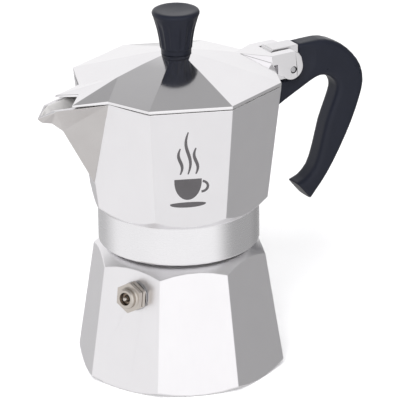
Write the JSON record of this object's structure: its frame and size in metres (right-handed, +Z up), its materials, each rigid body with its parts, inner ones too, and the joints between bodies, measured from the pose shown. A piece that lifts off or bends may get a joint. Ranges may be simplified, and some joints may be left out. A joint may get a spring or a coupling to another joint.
{
  "type": "moka pot",
  "caption": "Stovetop moka pot: octagonal aluminium boiler and jug with a spout, hinged lid, dark knob and bow handle, safety valve, coffee funnel, gasket and filter.",
  "frame": {"origin": "on the pot's axis, in the plane of the boiler's flat bottom", "axes": "+Z up along the pot's axis, +X towards the handle, -X towards the spout"},
  "size_m": [0.1598, 0.0912, 0.16],
  "materials": {
    "cast_aluminium": "polished",
    "sheet_aluminium": "satin",
    "valve_brass": "satin",
    "steel": "satin",
    "seal": "matte",
    "dark_plastic": "semi-gloss"
  },
  "bodies": {
    "boiler": {"boiler": "cast_aluminium", "valve_washer": "steel", "valve_body": "valve_brass", "valve_spring": "steel", "valve_cap": "valve_brass"},
    "valve_plunger": {"valve_plunger": "valve_brass", "valve_seat_seal": "seal"},
    "funnel": {"funnel": "sheet_aluminium", "funnel_plate": "sheet_aluminium"},
    "gasket": {"gasket": "seal"},
    "filter_plate": {"filter_plate": "sheet_aluminium"},
    "collector": {"collector": "cast_aluminium", "riser_tube": "sheet_aluminium", "hinge_pin": "steel", "handle": "dark_plastic", "handle_screw": "steel"},
    "lid": {"lid": "cast_aluminium", "knob": "dark_plastic", "knob_screw": "steel", "knob_washer": "steel"}
  },
  "joints": [
    {"name": "lift_off", "type": "slide", "parent": "boiler", "child": "gasket", "axis": [0, 0, 1], "range_m": [0, 0.13]},
    {"name": "screw_rise", "type": "slide", "parent": "gasket", "child": "filter_plate", "axis": [0, 0, 1], "range_m": [0, 0.0061]},
    {"name": "collector_turn", "type": "hinge", "parent": "filter_plate", "child": "collector", "pos_m": [0, 0, 0.07], "axis": [0, 0, 1], "range_deg": [0, 720]},
    {"name": "lid_hinge", "type": "hinge", "parent": "collector", "child": "lid", "pos_m": [0.0528, 0, 0.1253], "axis": [0, 1, 0], "range_deg": [0, 90]},
    {"name": "funnel_lift", "type": "slide", "parent": "boiler", "child": "funnel", "axis": [0, 0, 1], "range_m": [0, 0.066]},
    {"name": "valve_press", "type": "slide", "parent": "boiler", "child": "valve_plunger", "axis": [-0.9005, -0.4104, 0.144], "range_m": [0, 0.0015], "stiffness_N_per_m": 1000, "springref_m": -0.003, "deforming": ["valve_spring"]}
  ],
  "couplings": [
    {"joint": "screw_rise", "follows": "collector_turn", "m_per_rad": 0.00047746},
    {"joint": "funnel_lift", "follows": "lift_off", "ratio": 0.5}
  ]
}
